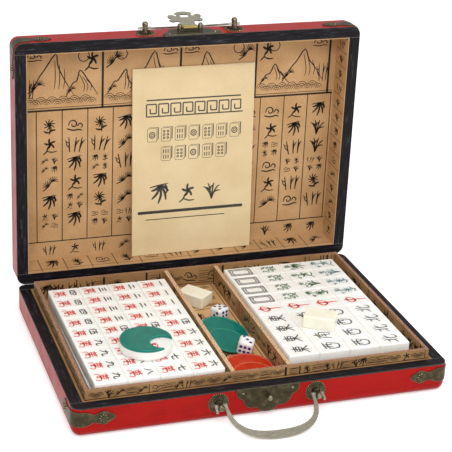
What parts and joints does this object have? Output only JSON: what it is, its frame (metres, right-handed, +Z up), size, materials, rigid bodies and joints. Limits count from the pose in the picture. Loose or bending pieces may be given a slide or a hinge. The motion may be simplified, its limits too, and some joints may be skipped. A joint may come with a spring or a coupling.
{
  "type": "mahjong case",
  "caption": "Hinged cloth-covered wooden game case standing open, with hasp, two drop handles, lift-out tray, tiles, dice, discs and a leaning booklet.",
  "frame": {"origin": "centre of the underside of the base", "axes": "+X right, -Y front (hasp side), +Z up"},
  "size_m": [0.2934, 0.2836, 0.2402],
  "materials": {
    "poplar_board": "sawn board",
    "red_leatherette": "semi-gloss embossed leatherette",
    "black_rim_strip": "satin black grained strip",
    "printed_kraft_paper": "matt printed paper",
    "printed_kraft_board": "matt printed paper on board",
    "antique_bronze": "antique bronze plated sheet",
    "antique_nickel": "tumbled antique plate",
    "ivory_resin": "polished resin",
    "white_plastic": "glossy moulded",
    "green_plastic": "glossy moulded",
    "red_plastic": "glossy moulded",
    "booklet_paper": "matt uncoated paper"
  },
  "bodies": {
    "base": {"base_walls": "poplar_board", "base_board": "poplar_board", "base_side_covering": "red_leatherette", "base_board_covering": "red_leatherette", "base_rim_front": "black_rim_strip", "base_rim_back": "black_rim_strip", "base_rim_sides": "black_rim_strip", "base_wall_lining": "printed_kraft_paper", "base_floor_lining": "printed_kraft_paper", "base_corner_brackets": "antique_bronze", "base_flower_nails": "antique_bronze", "base_plate_nails": "antique_bronze", "base_hinge_screws": "antique_bronze", "base_hinge_leaves": "antique_bronze", "hinge_pins": "antique_bronze", "base_handle_rosettes": "antique_bronze", "base_handle_posts": "antique_bronze", "escutcheon": "antique_bronze", "catch_stud": "antique_bronze", "tray_bearers": "poplar_board"},
    "lid": {"lid_walls": "poplar_board", "lid_board": "poplar_board", "lid_side_covering": "red_leatherette", "lid_board_covering": "red_leatherette", "lid_rim_front": "black_rim_strip", "lid_rim_back": "black_rim_strip", "lid_rim_sides": "black_rim_strip", "lid_wall_lining": "printed_kraft_paper", "lid_floor_lining": "printed_kraft_paper", "lid_corner_brackets": "antique_bronze", "lid_flower_nails": "antique_bronze", "lid_plate_nails": "antique_bronze", "lid_hinge_screws": "antique_bronze", "lid_hinge_leaves": "antique_bronze", "lid_handle_rosettes": "antique_bronze", "lid_handle_posts": "antique_bronze", "hasp_plate": "antique_bronze", "hasp_posts": "antique_bronze", "hasp_pin": "antique_bronze"},
    "hasp_flap": {"hasp_flap": "antique_bronze"},
    "base_handle": {"base_handle": "antique_nickel"},
    "lid_handle": {"lid_handle": "antique_nickel"},
    "tray": {"tray_walls": "printed_kraft_board", "tray_floor": "printed_kraft_board", "tray_divider_left": "printed_kraft_board", "tray_divider_right": "printed_kraft_board"},
    "left_tiles": {"left_lower_tiles": "ivory_resin", "left_upper_tiles": "ivory_resin", "indicator_cup": "white_plastic"},
    "right_tiles": {"right_lower_tiles": "ivory_resin", "right_upper_tiles": "ivory_resin", "loose_tile": "ivory_resin"},
    "indicator_top": {"indicator_top": "green_plastic"},
    "small_pieces": {"spare_tile": "ivory_resin", "green_disc": "green_plastic", "green_counter": "green_plastic", "red_disc": "red_plastic", "red_counter": "red_plastic", "dice": "white_plastic"},
    "booklet": {"booklet": "booklet_paper"}
  },
  "joints": [
    {"name": "lid_hinge", "type": "hinge", "parent": "base", "child": "lid", "pos_m": [0, 0.103, 0.024], "axis": [-1, 0, 0], "range_deg": [-90, 0]},
    {"name": "hasp_hinge", "type": "hinge", "parent": "lid", "child": "hasp_flap", "pos_m": [0, 0.114, 0.2334], "axis": [1, 0, 0], "range_deg": [0, 165]},
    {"name": "base_handle_pivot", "type": "hinge", "parent": "base", "child": "base_handle", "pos_m": [0, -0.1076, 0.015], "axis": [-1, 0, 0], "range_deg": [-64, 115]},
    {"name": "lid_handle_pivot", "type": "hinge", "parent": "lid", "child": "lid_handle", "pos_m": [0, 0.114, 0.2346], "axis": [1, 0, 0], "range_deg": [0, 140]},
    {"name": "tray_lift", "type": "slide", "parent": "base", "child": "tray", "axis": [0, 0, 1], "range_m": [0, 0.06]},
    {"name": "left_tiles_lift", "type": "slide", "parent": "tray", "child": "left_tiles", "axis": [0, 0, 1], "range_m": [0, 0.04]},
    {"name": "right_tiles_lift", "type": "slide", "parent": "tray", "child": "right_tiles", "axis": [0, 0, 1], "range_m": [0, 0.04]},
    {"name": "small_pieces_lift", "type": "slide", "parent": "tray", "child": "small_pieces", "axis": [0, 0, 1], "range_m": [0, 0.03]},
    {"name": "indicator_turn", "type": "hinge", "parent": "left_tiles", "child": "indicator_top", "pos_m": [-0.0768, -0.0462, 0.0416], "axis": [0, 0, 1], "continuous": true},
    {"name": "booklet_slide", "type": "slide", "parent": "lid", "child": "booklet", "axis": [0, -1, 0], "range_m": [0, 0.02]}
  ]
}
